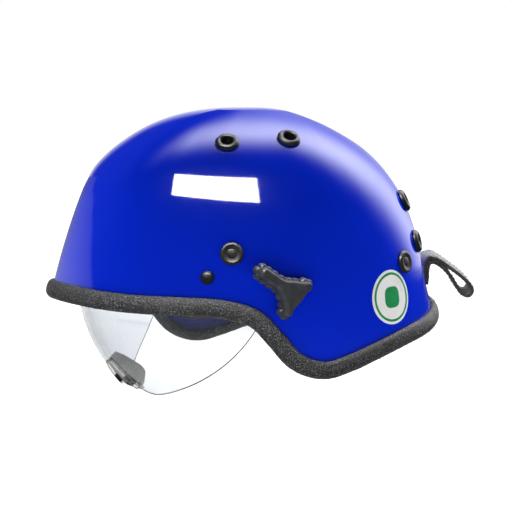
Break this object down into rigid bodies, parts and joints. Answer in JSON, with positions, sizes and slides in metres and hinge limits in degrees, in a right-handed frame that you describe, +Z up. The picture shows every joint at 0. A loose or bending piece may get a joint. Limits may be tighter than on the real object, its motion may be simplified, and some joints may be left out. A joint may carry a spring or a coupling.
{
  "type": "forestry helmet",
  "caption": "Hard helmet with vents, edge trim, inner harness, rear goggle strap, side clamp knobs and a clear half visor that swings up inside the shell.",
  "frame": {"origin": "centre of the head opening, level with the brow and the visor pivots, where the wearer's head holds the helmet", "axes": "+Z up through the crown, +Y to the back of the helmet (the visor faces -Y), +X to the wearer's left"},
  "size_m": [0.2596, 0.3201, 0.1996],
  "materials": {
    "shell_blue": "deep blue moulded shell, high gloss",
    "trim_rubber": "speckled foam rubber edging",
    "black_plastic": "satin moulded",
    "cap_plastic": "satin, slightly glossy moulded caps",
    "knob_plastic": "dark slate, satin",
    "steel": "machined",
    "washer_nylon": "natural nylon",
    "liner_foam": "moulded expanded foam",
    "band_plastic": "flexible strap plastic",
    "webbing": "woven polyester webbing",
    "pad_fabric": "teal mesh over foam",
    "brow_fabric": "grey absorbent cloth over foam",
    "clear_lens": "clear polycarbonate",
    "soft_clear": "translucent silicone",
    "badge_vinyl": "white printed vinyl with a plain green ring",
    "strap_leather": "grey coated strap with dark cut edges"
  },
  "bodies": {
    "helmet": {"shell": "shell_blue", "edge_trim": "trim_rubber", "vent_eyelets": "cap_plastic", "eyelet_rings": "black_plastic", "harness_caps": "cap_plastic", "guide_caps": "cap_plastic", "rivet_washers": "steel", "visor_guides": "black_plastic", "liner_posts": "black_plastic", "crown_spacer": "liner_foam", "impact_liner": "liner_foam", "headband": "band_plastic", "headband_clips": "black_plastic", "cradle_straps": "webbing", "crown_pad": "pad_fabric", "sweatband": "brow_fabric", "nape_pad": "brow_fabric", "left_side_pad": "pad_fabric", "right_side_pad": "pad_fabric", "ratchet_housing": "black_plastic", "pivot_bosses": "black_plastic", "pivot_bushes": "steel", "visor_washers": "washer_nylon", "badge": "badge_vinyl", "strap_base": "strap_leather", "snap_stud": "black_plastic"},
    "visor": {"visor_lens": "clear_lens", "nose_piece": "soft_clear", "nose_stops": "black_plastic"},
    "left_clamp": {"left_knob": "knob_plastic", "left_stud": "steel", "left_nut": "steel"},
    "right_clamp": {"right_knob": "knob_plastic", "right_stud": "steel", "right_nut": "steel"},
    "ratchet": {"ratchet_knob": "knob_plastic", "ratchet_pinion": "washer_nylon"},
    "strap": {"strap_flap": "strap_leather"}
  },
  "joints": [
    {"name": "visor_tilt", "type": "hinge", "parent": "helmet", "child": "visor", "pos_m": [0, -0.029, 0.001], "axis": [-1, 0, 0], "range_deg": [0, 48]},
    {"name": "left_knob_turn", "type": "hinge", "parent": "helmet", "child": "left_clamp", "pos_m": [0, -0.029, 0.001], "axis": [-1, 0, 0], "range_deg": [0, 90]},
    {"name": "right_knob_turn", "type": "hinge", "parent": "helmet", "child": "right_clamp", "pos_m": [0, -0.029, 0.001], "axis": [-1, 0, 0], "range_deg": [0, 90]},
    {"name": "ratchet_turn", "type": "hinge", "parent": "helmet", "child": "ratchet", "pos_m": [0, 0.105, -0.024], "axis": [0, 1, 0], "range_deg": [-210, 210]},
    {"name": "strap_fold", "type": "hinge", "parent": "helmet", "child": "strap", "pos_m": [0, 0.13, 0.0105], "axis": [-1, 0, 0], "range_deg": [0, 28]}
  ]
}
